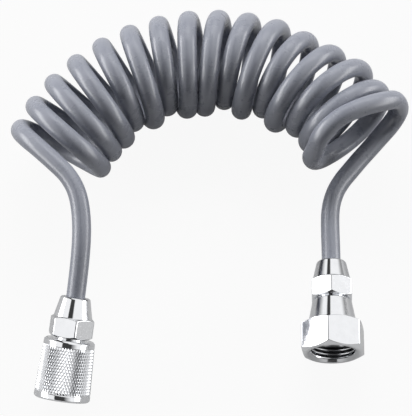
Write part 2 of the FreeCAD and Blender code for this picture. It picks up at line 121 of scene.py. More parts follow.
class Graph:
    """A node tree with short calls to add nodes and feed their sockets."""

    def __init__(self, tree: bpy.types.NodeTree) -> None:
        """Wraps a shader, world or geometry tree."""
        self.tree = tree

    def feed(self, socket: Socket, value: Any) -> None:
        """Joins an output to a socket, or sets the socket's own value.

        Args:
            socket: The input.
            value: An output, a node's outputs, of which the first is taken, or a plain
                value; a colour comes without its alpha.
        """
        if isinstance(value, Outputs):
            value = value[0]
        if isinstance(value, Socket):
            self.tree.links.new(value, socket)
        else:
            socket.default_value = (*value, 1.0) if socket.type == "RGBA" else value

    def add(self, kind: str, inputs: dict[Any, Any] | None = None, **settings: Any) -> Outputs:
        """Adds one node.

        Args:
            kind: The node's type name.
            inputs: What feeds each input, by its name or number.
            **settings: Properties of the node itself.

        Returns:
            The new node's outputs.
        """
        node = self.tree.nodes.new(kind)
        for name, value in settings.items():
            setattr(node, name, value)
        for name, value in (inputs or {}).items():
            self.feed(node.inputs[name], value)
        return node.outputs

    def into(self, node: str, **values: Any) -> None:
        """Feeds a node that the tree came with, with _ for the space in an input's name."""
        for name, value in values.items():
            self.feed(self.tree.nodes[node].inputs[name.replace("_", " ")], value)

    def math(self, operation: str, *values: Any) -> Socket:
        """Adds a Math node and returns its output."""
        return self.add("ShaderNodeMath", dict(enumerate(values)), operation=operation)[0]

    def plus(self, first: Any, second: Any) -> Socket:
        """Adds two values."""
        return self.math("ADD", first, second)

    def times(self, first: Any, second: Any) -> Socket:
        """Multiplies two values."""
        return self.math("MULTIPLY", first, second)

    def larger(self, first: Any, second: Any) -> Socket:
        """Takes the larger of two values."""
        return self.math("MAXIMUM", first, second)

    def vector(self, x: Any, y: Any, z: Any) -> Socket:
        """Joins three values into a vector."""
        return self.add("ShaderNodeCombineXYZ", {"X": x, "Y": y, "Z": z})[0]

    def split(self, vector: Any) -> Outputs:
        """Parts a vector into its X, Y and Z."""
        return self.add("ShaderNodeSeparateXYZ", {0: vector})

    def noise(self, vector: Any, scale: Any, detail: float = 3.0, roughness: float = 0.55) -> Socket:
        """Adds a noise texture and returns its value."""
        inputs = {"Vector": vector, "Scale": scale, "Detail": detail, "Roughness": roughness}
        return self.add("ShaderNodeTexNoise", inputs)[0]

    def spread(self, value: Any, low: float, high: float, to_low: Any = 0.0, to_high: Any = 1.0) -> Socket:
        """Maps a value's range low..high to to_low..to_high, held at the ends."""
        inputs = {"Value": value, "From Min": low, "From Max": high, "To Min": to_low, "To Max": to_high}
        return self.add("ShaderNodeMapRange", inputs)[0]

    def mix(self, factor: Any, first: Any, second: Any) -> Socket:
        """Mixes two colours."""
        return self.add("ShaderNodeMix", {0: factor, 6: first, 7: second}, data_type="RGBA")[2]

    def choose(self, factor: Any, first: Any, second: Any) -> Outputs:
        """Mixes two shaders."""
        return self.add("ShaderNodeMixShader", {0: factor, 1: first, 2: second})

    def sight(self) -> tuple[Socket, Socket]:
        """Tells whether a ray comes from the camera, and whether from gloss or glass."""
        path = self.add("ShaderNodeLightPath")
        return path["Is Camera Ray"], self.larger(path["Is Glossy Ray"], path["Is Transmission Ray"])


def new_group(
    name: str, kind: str, inputs: dict[str, Any], outputs: Sequence[str], output_type: str = "NodeSocketFloat"
) -> tuple[Graph, Outputs, Outputs]:
    """Makes an empty node group with its sockets.

    Args:
        name: The group's name.
        kind: ShaderNodeTree or GeometryNodeTree.
        inputs: The default of each input, by its name, which also settles its type.
        outputs: The names of the outputs.
        output_type: The socket type of every output.

    Returns:
        The group's graph, what the group is given, and what it puts out.
    """
    tree = bpy.data.node_groups.new(name, kind)
    for label, default in inputs.items():
        socket_type = SOCKET_TYPES[type(default)]
        tree.interface.new_socket(name=label, in_out="INPUT", socket_type=socket_type).default_value = default
    for label in outputs:
        tree.interface.new_socket(name=label, in_out="OUTPUT", socket_type=output_type)
    graph = Graph(tree)
    return graph, graph.add("NodeGroupInput"), tree.nodes.new("NodeGroupOutput").inputs


class SurfaceEffects:
    """The shader groups that several finishes share, each built once."""

    cloud_range: Span = (0.3, 0.7)
    line_range: Span = (0.66, 0.71)
    line_turns_and_stretches: tuple[tuple[Point, Point], ...] = (
        ((0.4, 0.2, 0.9), (1.0, 0.035, 1.0)), ((1.1, 0.7, -0.5), (0.04, 1.0, 0.8)))
    patch_range: Span = (0.42, 0.62)
    patch_scale: float = 0.15
    wander_scale: float = 600.0

    def __init__(self) -> None:
        """Builds every group."""
        self.mottle = self._mottle()
        self.scratches = self._scratches()
        self.turning = self._turning()

    def _mottle(self) -> bpy.types.NodeTree:
        """Slow cloudy change over a surface, as handling and moulding leave it.

        Returns:
            A group with inputs Vector, Scale, Low and High and output Value.
        """
        graph, given, made = new_group(
            "cloudy_mottle", "ShaderNodeTree",
            {"Vector": ORIGIN, "Scale": 100.0, "Low": 0.0, "High": 1.0}, ["Value"])
        cloud = graph.noise(given["Vector"], given["Scale"], 4.0, 0.6)
        graph.feed(made["Value"], graph.spread(cloud, *self.cloud_range, given["Low"], given["High"]))
        return graph.tree

    def _scratches(self) -> bpy.types.NodeTree:
        """Hairline scratches in two directions, denser where the cloud is thick.

        Returns:
            A group with inputs Vector, Scale and Amount and outputs Mask and Height.
        """
        graph, given, made = new_group(
            "hairline_scratches", "ShaderNodeTree",
            {"Vector": ORIGIN, "Scale": 900.0, "Amount": 0.5}, ["Mask", "Height"])
        lines = []
        for turn, stretch in self.line_turns_and_stretches:
            stretched = graph.add(
                "ShaderNodeMapping", {"Vector": given["Vector"], "Rotation": turn, "Scale": stretch})
            grain = graph.noise(stretched, given["Scale"], 1.5, 0.5)
            lines.append(graph.spread(grain, *self.line_range))
        cloud = graph.noise(given["Vector"], graph.times(given["Scale"], self.patch_scale), 2.0)
        where = graph.spread(cloud, *self.patch_range, 0.0, given["Amount"])
        mask = graph.times(graph.larger(*lines), where)
        graph.feed(made["Mask"], mask)
        graph.feed(made["Height"], graph.math("SUBTRACT", 1.0, mask))
        return graph.tree

    def _turning(self) -> bpy.types.NodeTree:
        """Fine rings that a lathe tool leaves, by the distance along the axis.

        Returns:
            A group with inputs Vector, Axis, Pitch and Wander and output Height.
        """
        graph, given, made = new_group(
            "lathe_rings", "ShaderNodeTree",
            {"Vector": ORIGIN, "Axis": (0.0, -1.0, 0.0), "Pitch": 0.00018, "Wander": 0.4}, ["Height"])
        along = graph.add(
            "ShaderNodeVectorMath", {0: given["Vector"], 1: given["Axis"]}, operation="DOT_PRODUCT")["Value"]
        wander = graph.times(graph.noise(given["Vector"], self.wander_scale), given["Wander"])
        phase = graph.plus(graph.math("DIVIDE", along, given["Pitch"]), wander)
        graph.feed(made["Height"], graph.math("PINGPONG", phase, 0.5))
        return graph.tree


# ---- finishes ----


def new_material(name: str) -> tuple[Material, Graph]:
    """Makes a material.

    Args:
        name: Its name.

    Returns:
        The material and its graph.
    """
    material = bpy.data.materials.new(name)
    material.use_nodes = True
    return material, Graph(material.node_tree)


@dataclass
class Finish:
    """One material, built round its Principled shader as soon as it is made.

    Its mottle runs from one colour to another, and from one roughness to another.
    """

    name: str
    effects: SurfaceEffects
    colour: Colour
    clouded: Colour
    roughness: Span

    def __post_init__(self) -> None:
        """Makes the material and dresses it."""
        self.material, self.graph = new_material(self.name)
        self.place = self.graph.add("ShaderNodeTexCoord")["Object"]
        self.dress()

    def dress(self) -> None:
        """Feeds the shader, as each kind of finish does it."""
        raise NotImplementedError

    def effect(self, tree: bpy.types.NodeTree, **inputs: Any) -> Outputs:
        """Places a shared group on Object coordinates, with its own values."""
        return self.graph.add("ShaderNodeGroup", {"Vector": self.place, **inputs}, node_tree=tree)

    def cloud(self, scale: float, low: float = 0.0, high: float = 1.0) -> Socket:
        """Places the mottle between two values."""
        return self.effect(self.effects.mottle, Scale=scale, Low=low, High=high)["Value"]

    def bump(self, height: Any, distance: float, under: Socket | None = None) -> Socket:
        """Turns a height into a normal, over another one where it is given."""
        inputs = {"Height": height, "Distance": distance}
        return self.graph.add("ShaderNodeBump", inputs | ({"Normal": under} if under else {}))[0]


@dataclass
class SatinTubing(Finish):
    """Extruded polyurethane: satin, cool grey, with faint lines along its length."""

    cloud_scale: float = 70.0
    cloud_share: float = 0.65
    grain_scale: float = 900.0
    grain_share: float = 0.35
    rough_scale: float = 160.0
    scuff_colour: Colour = (0.46, 0.465, 0.48)
    scuff_scale: float = 420.0
    scuff_amount: float = 0.10
    scuff_share: float = 0.25
    scuff_roughness: float = 0.12
    specular: float = 0.9
    line_scale: float = 4.0
    line_stretch: float = 0.012
    line_depth: float = 0.000008
    peel_scale: float = 500.0
    peel_depth: float = 0.00001

    def dress(self) -> None:
        """Feeds the shader; the lines follow the tube's own UV map."""
        graph = self.graph
        chart = graph.split(graph.add("ShaderNodeUVMap", uv_map="tube"))
        around = graph.times(chart["X"], math.tau)
        along = graph.times(chart["Y"], self.line_stretch)
        circle = graph.vector(graph.math("COSINE", around), graph.math("SINE", around), along)
        lines = self.bump(graph.noise(circle, self.line_scale, 2.0, 0.6), self.line_depth)
        peel = self.bump(graph.noise(self.place, self.peel_scale, 1.0), self.peel_depth, lines)
        clouds = graph.plus(
            graph.times(self.cloud(self.cloud_scale), self.cloud_share),
            self.cloud(self.grain_scale, 0.0, self.grain_share))
        tone = graph.mix(clouds, self.colour, self.clouded)
        scuffs = self.effect(
            self.effects.scratches, Scale=self.scuff_scale, Amount=self.scuff_amount)["Mask"]
        roughness = self.cloud(self.rough_scale, *self.roughness)
        graph.into(
            "Principled BSDF",
            Base_Color=graph.mix(graph.times(scuffs, self.scuff_share), tone, self.scuff_colour),
            Roughness=graph.plus(roughness, graph.times(scuffs, self.scuff_roughness)),
            Specular_IOR_Level=self.specular,
            Normal=peel)


@dataclass
class Plating(Finish):
    """Chrome or nickel plate over turned brass, with hairline scratches; its darker copies on the knurl and
    in the bores carry painted shade.
    """

    film_scale: float = 260.0
    film_share: float = 0.8
    rough_scale: float = 420.0
    scratch_scale: float = 2200.0
    scratch_amount: float = 0.5
    scratch_roughness: float = 0.10
    scratch_depth: float = 0.0000015
    ripple_scale: float = 420.0
    ripple_depth: float = 0.0

    def dress(self) -> None:
        """Feeds the shader."""
        graph = self.graph
        scratches = self.effect(
            self.effects.scratches, Scale=self.scratch_scale, Amount=self.scratch_amount)
        normal = self.bump(scratches["Height"], self.scratch_depth)
        if self.ripple_depth:
            normal = self.bump(graph.noise(self.place, self.ripple_scale, 2.0), self.ripple_depth, normal)
        film = graph.times(self.cloud(self.film_scale), self.film_share)
        roughness = self.cloud(self.rough_scale, *self.roughness)
        graph.into(
            "Principled BSDF",
            Base_Color=graph.mix(film, self.colour, self.clouded),
            Metallic=1.0,
            Roughness=graph.plus(roughness, graph.times(scratches["Mask"], self.scratch_roughness)),
            Normal=normal)


@dataclass
class TurnedMetal(Finish):
    """Bare metal as the lathe or the rolls left it, with rings about an axis."""

    axis: Vector
    pitch: float
    depth: float
    tarnish_scale: float = 330.0
    rough_scale: float = 700.0

    def dress(self) -> None:
        """Feeds the shader."""
        rings = self.effect(self.effects.turning, Axis=tuple(self.axis), Pitch=self.pitch)["Height"]
        self.graph.into(
            "Principled BSDF",
            Base_Color=self.graph.mix(self.cloud(self.tarnish_scale), self.colour, self.clouded),
            Metallic=1.0,
            Roughness=self.cloud(self.rough_scale, *self.roughness),
            Normal=self.bump(rings, self.depth))


@dataclass
class MouldedSeal(Finish):
    """Moulded rubber or nylon: matt, with a fine grain and a little bloom."""

    grain_depth: float
    grain_scale: float = 4200.0
    bloom_scale: float = 380.0
    bloom_share: float = 0.6
    rough_scale: float = 500.0

    def dress(self) -> None:
        """Feeds the shader."""
        bloom = self.cloud(self.bloom_scale, 0.0, self.bloom_share)
        self.graph.into(
            "Principled BSDF",
            Base_Color=self.graph.mix(bloom, self.colour, self.clouded),
            Roughness=self.cloud(self.rough_scale, *self.roughness),
            Normal=self.bump(self.graph.noise(self.place, self.grain_scale), self.grain_depth))


class Finishes:
    """Every material of the hose set."""

    def __init__(self, axes: dict[Side, Vector]) -> None:
        """Builds the materials.

        Args:
            axes: Each coupling's axis.
        """
        effects = SurfaceEffects()
        self.tubing = SatinTubing(
            "satin_tubing", effects, (0.310, 0.325, 0.378), (0.265, 0.279, 0.328), (0.24, 0.33)).material
        self.chrome = Plating(
            "polished_chrome", effects, (0.89, 0.90, 0.92), (0.8277, 0.837, 0.8556), (0.035, 0.075),
            ripple_depth=0.000004).material
        # A darker copy of the chrome for the knurl's teeth: its lower colour is painted shade, which dims the
        # lamps' reflections.
        self.knurl_shaded_plate = Plating(
            "knurl_plate_painted_shade", effects, (0.68, 0.69, 0.71), (0.6324, 0.6417, 0.6603), (0.22, 0.30)).material
        # Near-black plate for the nuts' bores and threads: its dark colour is painted shade for the inside of
        # the mouths.
        self.bore_shade = Plating(
            "painted_bore_shade", effects, (0.085, 0.085, 0.083), (0.055, 0.053, 0.048), (0.34, 0.48)).material
        self.seal = MouldedSeal(
            "black_seal", effects, (0.022, 0.022, 0.023), (0.060, 0.060, 0.062), (0.55, 0.72),
            0.00001).material
        self.nylon = MouldedSeal(
            "natural_nylon", effects, (0.80, 0.79, 0.72), (0.88, 0.87, 0.83), (0.38, 0.52), 0.000004).material
        self.brass = {
            side: TurnedMetal(
                "turned_brass", effects, (0.78, 0.60, 0.30), (0.60, 0.43, 0.20), (0.22, 0.36),
                axis, 0.00020, 0.00001).material
            for side, axis in axes.items()}
        self.spring_steel = TurnedMetal(
            "rolled_spring_steel", effects, (0.58, 0.58, 0.60), (0.42, 0.43, 0.46), (0.24, 0.38),
            axes[Side.OUTLET], 0.00012, 0.000006).material


# ---- meshes ----


def placed(name: str, mesh: Mesh, *materials: Material) -> Piece:
    """Puts a mesh in the scene as an object at the origin.

    Args:
        name: The piece's name.
        mesh: Its mesh, already in its place.
        *materials: The materials of its slots, in order.

    Returns:
        The object.
    """
    mesh.name = name
    mesh.materials.clear()
    for material in materials:
        mesh.materials.append(material)
    piece = bpy.data.objects.new(name, mesh)
    bpy.context.scene.collection.objects.link(piece)
    return piece


def declared(piece: Piece, slot: Slot, body: Body, *replaced: str) -> Piece:
    """Hides the CAD nodes that a piece stands for, and hangs the piece on its body.

    Args:
        piece: The piece.
        slot: The record's slot that its finish comes from; not used.
        body: The body that it rides on.
        *replaced: The CAD nodes that it stands for.

    Returns:
        The piece.
    """
    if replaced:
        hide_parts(*replaced)
    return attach(piece, body.value)


@dataclass
class Corner:
    """One corner of a turned or hexagonal outline, at each angle round the axis."""

    radius: np.ndarray | float
    station: np.ndarray | float
    round_off: float = 0.12
    bore: bool = False


def corners(*rows: tuple[Any, ...], bore: bool = False) -> list[Corner]:
    """Makes corners of rows of radius, station and rounding."""
    return [Corner(*row, bore=bore) for row in rows]


@dataclass(frozen=True)
class MouthThread:
    """The G1/2 mouth of either swivel nut: a countersink, a thread and its undercut."""

    start: float
    end: float
    crest: float = 9.32
    root: float = 10.35
    pitch: float = 1.814
    countersink: float = 10.70
    undercut: float = 9.60


class RingSurface:
    """A closed surface round an axis, joined ring to ring and the last ring to the first.

    Rings run from the hose end to the mouth outside, and back along the bore.  Beside
    each rounded corner stands a guard ring, which keeps the flats' shading flat.
    """

    round_steps: int = 3
    shortest_share: float = 0.3
    guard_reach: float = 1.5
    thread_steps: int = 8
    flank_end: float = 0.875
    flank: float = 0.625

    def __init__(self, angles: np.ndarray) -> None:
        """Starts an empty surface.

        Args:
            angles: The angles of the points in every ring, rising, in radians.
        """
        self.angles = angles
        self.rings: list[np.ndarray] = []
        self.bores: list[bool] = []
        self.threads: list[tuple[int, int, int]] = []

    def _ring(self, radius: Any, station: Any) -> np.ndarray:
        """Pairs a radius with a station at every angle."""
        return np.stack(np.broadcast_arrays(radius, station, self.angles)[:2], axis=1)

    def _add(self, ring: np.ndarray, bore: bool) -> None:
        """Adds one ring of pairs."""
        self.rings.append(ring)
        self.bores.append(bore)

    def outline(self, line: Sequence[Corner]) -> None:
        """Adds rings for an open run of corners, each rounded off.

        Args:
            line: The corners in order; the first and last only give directions.
        """
        places = [self._ring(corner.radius, corner.station) for corner in line]
        for before, here, after, corner in zip(places, places[1:], places[2:], line[1:-1]):
            if corner.round_off <= 0:
                self._add(here, corner.bore)
                continue
            runs = [before - here, after - here]
            spans = [np.linalg.norm(run, axis=1, keepdims=True) for run in runs]
            reach = np.minimum(corner.round_off, self.shortest_share * np.minimum(*spans))
            back, ahead = (run / span * reach for run, span in zip(runs, spans))
            curve = [
                (1 - t) ** 2 * (here + back) + 2 * t * (1 - t) * here + t ** 2 * (here + ahead)
                for t in np.linspace(0.0, 1.0, self.round_steps + 1)]
            for ring in (here + back * self.guard_reach, *curve, here + ahead * self.guard_reach):
                self._add(ring, corner.bore)

    def thread(self, thread: MouthThread) -> None:
        """Adds a right-hand internal thread, from its mouth end back to its inner end.

        The rings climb with the angle, so that the turns join where the circle closes.

        Args:
            thread: The thread's sizes.
        """
        start, end, steps = thread.start, thread.end, self.thread_steps
        share = (self.angles - self.angles[0]) / math.tau
        count = int(math.ceil((end - start) / thread.pitch * steps)) + steps
        first = len(self.rings)
        for number in reversed(range(count + 1)):
            station = np.clip(start + thread.pitch * (number / steps - 1 + share), start, end)
            wave = abs((number % steps) / steps - 0.5) * 2
            depth = min(1.0, max(0.0, (self.flank_end - wave) / self.flank))
            fade = np.clip(np.minimum(station - start, end - station) / (0.5 * thread.pitch), 0, 1)
            self._add(self._ring(thread.crest + (thread.root - thread.crest) * depth * fade, station), True)
        self.threads.append((first, len(self.rings) - 1, -steps))

    def threaded(self, outside: list[Corner], thread: MouthThread, inside: list[Corner]) -> None:
        """Adds a swivel nut's whole outline, down its outside and back up its bore.

        Args:
            outside: The corners from the journal's mouth end round to the countersink.
            thread: The thread's sizes.
            inside: The corners from the end of the undercut back to the journal's top.
        """
        mouth = Corner(thread.crest, thread.end)
        foot = corners((thread.crest, thread.start, 0.0), (thread.undercut, thread.start, 0.05), bore=True)
        self.outline([*outside, mouth])
        self.thread(thread)
        self.outline([mouth, *foot, *inside])

    def _faces(self) -> tuple[list[list[int]], np.ndarray]:
        """Joins the rings, one thread turn further on where the circle closes.

        Returns:
            The faces, and whether each lies in the bore.
        """
        rings, sides, bores = len(self.rings), len(self.angles), np.array(self.bores)
        here, side = np.divmod(np.arange(rings * sides), sides)
        following, beyond = (here + 1) % rings, (side + 1) % sides
        near, far = here.copy(), following.copy()
        for low, high, shift in self.threads:
            closing = (beyond == 0) & (low <= here) & (here < high)
            for ends in (near, far):
                ends[closing] = np.clip(ends[closing] + shift, low, high)
        faces = here * sides + side, near * sides + beyond, far * sides + beyond, following * sides + side
        return np.stack(faces, axis=1).tolist(), bores[here] & bores[following]

    def mesh(self, place: Matrix) -> Mesh:
        """Makes the closed mesh.

        Args:
            place: Takes the axis frame, in millimetres, to the model's frame.

        Returns:
            The mesh, with material 1 in the bore and 0 elsewhere.
        """
        radii, stations = np.moveaxis(np.array(self.rings), 2, 0)
        points = np.stack([radii * np.cos(self.angles), radii * np.sin(self.angles), stations], axis=-1)
        faces, bores = self._faces()
        mesh = bpy.data.meshes.new("rings")
        mesh.from_pydata(points.reshape(-1, 3).tolist(), [], faces)
        mesh.polygons.foreach_set("material_index", bores.astype(np.int32))
        mesh.polygons.foreach_set("use_smooth", np.ones(len(faces), bool))
        mesh.transform(place)
        shape = bmesh.new()
        shape.from_mesh(mesh)
        bmesh.ops.remove_doubles(shape, verts=shape.verts, dist=MERGE_DISTANCE)
        bmesh.ops.dissolve_degenerate(shape, dist=MERGE_DISTANCE / 4, edges=shape.edges)
        bmesh.ops.recalc_face_normals(shape, faces=shape.faces)
        shape.to_mesh(mesh)
        shape.free()
        mesh.set_sharp_from_angle(angle=SHARP_ANGLE)
        return mesh


@dataclass(frozen=True)
class Hexagon:
    """A hexagon with a flat facing +Y and rounded corners, as radii at chosen angles."""

    flats: float
    corner_round: float
    flat_steps: int = 12
    corner_steps: int = 6
    flat_margin: float = 0.02

    def sampled(self) -> tuple[np.ndarray, np.ndarray]:
        """Works out the outline.

        Returns:
            The angles, rising, and the radius at each.
        """
        half, half_side = self.flats / 2, math.pi / 6
        inner = half - self.corner_round
        edge = math.atan(inner * math.tan(half_side) / half)
        bends = np.linspace(-half_side, half_side, self.corner_steps + 1)[1:-1]
        x = inner / math.cos(half_side) + self.corner_round * np.cos(bends)
        y = self.corner_round * np.sin(bends)
        inside = edge - self.flat_margin
        flat = np.concatenate([[-edge], np.linspace(-inside, inside, self.flat_steps + 1), [edge]])
        angles, radii = [], []
        for side in range(6):
            middle = math.radians(30 + 60 * side)
            angles += [middle + flat, middle + half_side + np.arctan2(y, x)]
            radii += [half / np.cos(flat), np.hypot(x, y)]
        return np.concatenate(angles), np.concatenate(radii)


# ---- couplings ----


@dataclass(frozen=True)
class CouplingAxis:
    """Where a coupling lies: its hose-end point and its direction, from the record."""

    side: Side
    start: Vector
    direction: Vector

    @classmethod
    def from_record(cls, side: Side, record: dict[str, Any], thread_middle: float = 36.7) -> "CouplingAxis":
        """Finds the axis from the coupling's threaded mount.

        Args:
            side: Which coupling.
            record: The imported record.
            thread_middle: The mount's station, midway along the thread.

        Returns:
            The axis.
        """
        mount = next(row for row in record["mounts"] if row["name"] == f"{side.value}_thread")
        direction = Vector(mount["axis"]).normalized()
        return cls(side, Vector(mount["pos_m"]) - direction * thread_middle * MM, direction)

    def place(self, roll: float = 0.0) -> Matrix:
        """Takes the axis frame, in millimetres, to the model's frame.

        Args:
            roll: Degrees from a flat lying uppermost towards +X.

        Returns:
            The matrix.
        """
        heading = math.atan2(-self.direction.x, -self.direction.y)
        pitch = math.asin(-self.direction.z)
        return (
            Matrix.Translation(self.start)
            @ Matrix.Rotation(-heading, 4, "Z")
            @ Matrix.Rotation(math.pi / 2 + pitch, 4, "X")
            @ Matrix.Rotation(-math.radians(roll), 4, "Z")
            @ Matrix.Scale(MM, 4)
        )

    def at(self, station: float) -> Vector:
        """The point on the axis at a station, in metres."""
        return self.start + self.direction * station * MM


@dataclass
class Nut:
    """What every nut of a coupling has: its axis, its finishes and its turn on the axis."""

    axis: CouplingAxis
    finishes: Finishes
    roll: float = 0.0

    def _piece(self, name: str, surface: RingSurface, body: Body, replaced: str) -> Piece:
        """Makes the nut of its surface and puts it in the CAD nut's place.

        Args:
            name: The piece's name.
            surface: Its surface.
            body: The body that it rides on.
            replaced: The CAD nut.

        Returns:
            The piece.
        """
        mesh = surface.mesh(self.axis.place(self.roll))
        # The bore faces take the second material, whose near-black colour is painted shade.
        return declared(
            placed(name, mesh, self.finishes.chrome, self.finishes.bore_shade), Slot.CHROME, body, replaced)


@dataclass
class ClampNut(Nut):
    """The coned nut that squeezes the ferrule on the hose."""

    length: float = 17.0
    tip_radius: float = 6.35
    tip_chamfer: float = 0.5
    cone_length: float = 8.4
    cone_radius: float = 8.15
    hexagon: Hexagon = Hexagon(17.0, 0.70)
    end_radius: float = 8.0
    hose_bore: float = 4.2
    seat: Span = (5.6, 8.4)
    barrel_bore: float = 5.25
    thread_bore: float = 6.0
    thread_start: float = 12.4

    def build(self) -> Piece:
        """Makes the nut.

        Returns:
            The piece.
        """
        angles, radii = self.hexagon.sampled()
        surface = RingSurface(angles)
        loop = [
            *corners((self.hose_bore, 0.0, 0.15), bore=True),
            *corners(
                (self.tip_radius - self.tip_chamfer, 0.0, 0.18),
                (self.tip_radius, self.tip_chamfer, 0.18),
                (self.cone_radius, self.cone_length, 0.14),
                (radii, self.cone_length + (radii - self.cone_radius) * CHAMFER_SLOPE, 0.14),
                (radii, self.length - (radii - self.end_radius) * CHAMFER_SLOPE, 0.14),
                (self.end_radius, self.length, 0.12)),
            *corners(
                (self.thread_bore, self.length, 0.12),
                (self.thread_bore, self.thread_start, 0.08),
                (self.barrel_bore, self.thread_start, 0.08),
                (self.barrel_bore, self.seat[1], 0.08),
                (self.hose_bore, self.seat[0], 0.08), bore=True),
        ]
        surface.outline([loop[-1], *loop, loop[0]])
        side = self.axis.side.value
        return self._piece(f"{side}_hose_clamp", surface, Body.HOSE, f"{side}_clamp_nut")


@dataclass
class UnionNut(Nut):
    """The hexagonal nut that does up on the water supply."""

    roll: float = 20.0
    top: float = 18.0
    mouth_station: float = 41.4
    top_radius: float = 8.4
    hexagon_start: float = 28.1
    cone_radius: float = 10.3
    hexagon: Hexagon = Hexagon(25.0, 0.90)
    top_face: float = 12.3
    mouth_face: float = 11.8
    journal: float = 6.25
    land_end: float = 22.0
    relief: float = 8.0
    shoulder: float = 28.7
    thread: MouthThread = MouthThread(33.0, 40.4)

    def build(self) -> Piece:
        """Makes the nut.

        Returns:
            The piece.
        """
        angles, radii = self.hexagon.sampled()
        surface = RingSurface(angles)
        outside = [
            *corners((self.journal, self.land_end), (self.journal, self.top, 0.15), bore=True),
            *corners(
                (self.top_radius, self.top, 0.30),
                (self.cone_radius, self.hexagon_start, 0.12),
                (self.top_face, self.hexagon_start, 0.14),
                (radii, self.hexagon_start + (radii - self.top_face) * CHAMFER_SLOPE, 0.16),
                (radii, self.mouth_station - (radii - self.mouth_face) * CHAMFER_SLOPE, 0.18),
                (self.mouth_face, self.mouth_station, 0.22)),
            *corners((self.thread.countersink, self.mouth_station, 0.14), bore=True),
        ]
        surface.threaded(outside, self.thread, corners(
            (self.thread.undercut, self.shoulder),
            (self.relief, self.shoulder),
            (self.journal, self.land_end, 0.10),
            (self.journal, self.top), bore=True))
        return self._piece("inlet_hexagon_nut", surface, Body.INLET_NUT, "inlet_union_nut")


@dataclass
class HandNut(Nut):
    """The knurled nut that is done up by hand on the sprayer."""

    sides: int = 120
    top: float = 17.8
    mouth_station: float = 43.2
    top_radius: float = 10.7
    mouth_radius: float = 11.9
    top_chamfer: float = 0.8
    mouth_chamfer: float = 0.7
    knurl_start: float = 20.6
    knurl_end: float = 40.8
    knurl_depth: float = 0.28
    teeth_round: int = 60
    tooth_rows: int = 15
    tooth_flat: float = 0.24
    tooth_sunk: float = 0.05
    journal: float = 6.25
    recess: float = 7.3
    recess_start: float = 26.8
    web_end: float = 29.0
    thread: MouthThread = MouthThread(31.2, 42.2)

    @property
    def taper(self) -> float:
        """How much the radius grows over each millimetre of length."""
        return (self.mouth_radius - self.top_radius) / (self.mouth_station - self.top)

    def radius_at(self, station: float) -> float:
        """The smooth bands' radius at a station."""
        return self.top_radius + (station - self.top) * self.taper

    def _barrel(self) -> Piece:
        """Makes the barrel, as deep as the grooves where the knurl lies on it.

        Returns:
            The piece.
        """
        depth, first, last = self.knurl_depth, self.knurl_start, self.knurl_end
        edge, rim = self.top + self.top_chamfer, self.mouth_station - self.mouth_chamfer
        surface = RingSurface(np.arange(self.sides) * math.tau / self.sides)
        outside = [
            *corners((self.journal, self.recess_start), (self.journal, self.top, 0.15), bore=True),
            *corners(
                (self.top_radius - self.top_chamfer, self.top, 0.30),
                (self.radius_at(edge), edge, 0.30),
                (self.radius_at(first), first, 0.06),
                (self.radius_at(first) - depth, first + depth, 0.04),
                (self.radius_at(last) - depth, last - depth, 0.04),
                (self.radius_at(last), last, 0.06),
                (self.radius_at(rim), rim, 0.30),
                (self.mouth_radius - self.mouth_chamfer, self.mouth_station, 0.16)),
            *corners((self.thread.countersink, self.mouth_station, 0.10), bore=True),
        ]
        surface.threaded(outside, self.thread, corners(
            (self.thread.undercut, self.web_end),
            (self.recess, self.web_end),
            (self.recess, self.recess_start),
            (self.journal, self.recess_start, 0.10),
            (self.journal, self.top), bore=True))
        return self._piece("outlet_hand_nut", surface, Body.OUTLET_NUT, "outlet_knurled_nut")

    def _knurl_sizes(self) -> dict[str, Any]:
        """Works out what the knurl's tree is given.

        Returns:
            Each input's value, by its name.
        """
        spacing = (self.knurl_end - self.knurl_start) / (self.tooth_rows + 1)
        first_row = self.knurl_start + spacing
        height = self.knurl_depth + self.tooth_sunk
        return {
            "Teeth Round": self.teeth_round, "Rows": self.tooth_rows, "First Row": first_row,
            "Row Spacing": spacing, "Root Radius": self.radius_at(first_row) - height, "Taper": self.taper,
            "Tooth Height": height, "Tooth Flat": self.tooth_flat,
            "Tooth Base": (height - self.tooth_flat * self.tooth_sunk) / self.knurl_depth,
            "Finish": self.finishes.knurl_shaded_plate,
        }

    def _knurl_tree(self) -> bpy.types.NodeTree:
        """Builds the tree that sets diamond teeth round the barrel in staggered rows.

        Returns:
            The tree, with its sizes as named inputs.
        """
        graph, size, made = new_group(
            "diamond_knurl", "GeometryNodeTree", self._knurl_sizes(), ["Geometry"], "NodeSocketGeometry")
        index = graph.add("GeometryNodeInputIndex")
        row = graph.math("FLOOR", graph.math("DIVIDE", index, size["Teeth Round"]))
        column = graph.math("MODULO", index, size["Teeth Round"])
        stagger = graph.times(graph.math("MODULO", row, 2.0), 0.5)
        angle = graph.times(
            graph.math("DIVIDE", graph.plus(column, stagger), size["Teeth Round"]), math.tau)
        along = graph.times(row, size["Row Spacing"])
        radius = graph.plus(size["Root Radius"], graph.times(along, size["Taper"]))
        points = graph.add("GeometryNodePoints", {
            "Count": graph.times(size["Teeth Round"], size["Rows"]),
            "Position": graph.vector(
                graph.times(radius, graph.math("COSINE", angle)),
                graph.times(radius, graph.math("SINE", angle)),
                graph.plus(size["First Row"], along))})
        tooth = graph.add("GeometryNodeMeshCone", {
            "Vertices": 4, "Radius Top": size["Tooth Flat"], "Radius Bottom": size["Tooth Base"],
            "Depth": 1.0}, fill_type="NGON")["Mesh"]
        outwards = graph.vector(math.pi / 2, 0.0, graph.plus(angle, math.pi / 2))
        half_width = graph.times(radius, graph.math("DIVIDE", math.pi, size["Teeth Round"]))
        teeth = graph.add("GeometryNodeInstanceOnPoints", {
            "Points": points, "Instance": tooth,
            "Rotation": graph.add("FunctionNodeEulerToRotation", {0: outwards}),
            "Scale": graph.vector(half_width, size["Row Spacing"], size["Tooth Height"])})
        real = graph.add("GeometryNodeRealizeInstances", {0: teeth})
        graph.feed(made[0], graph.add("GeometryNodeSetMaterial", {0: real, "Material": size["Finish"]}))
        return graph.tree

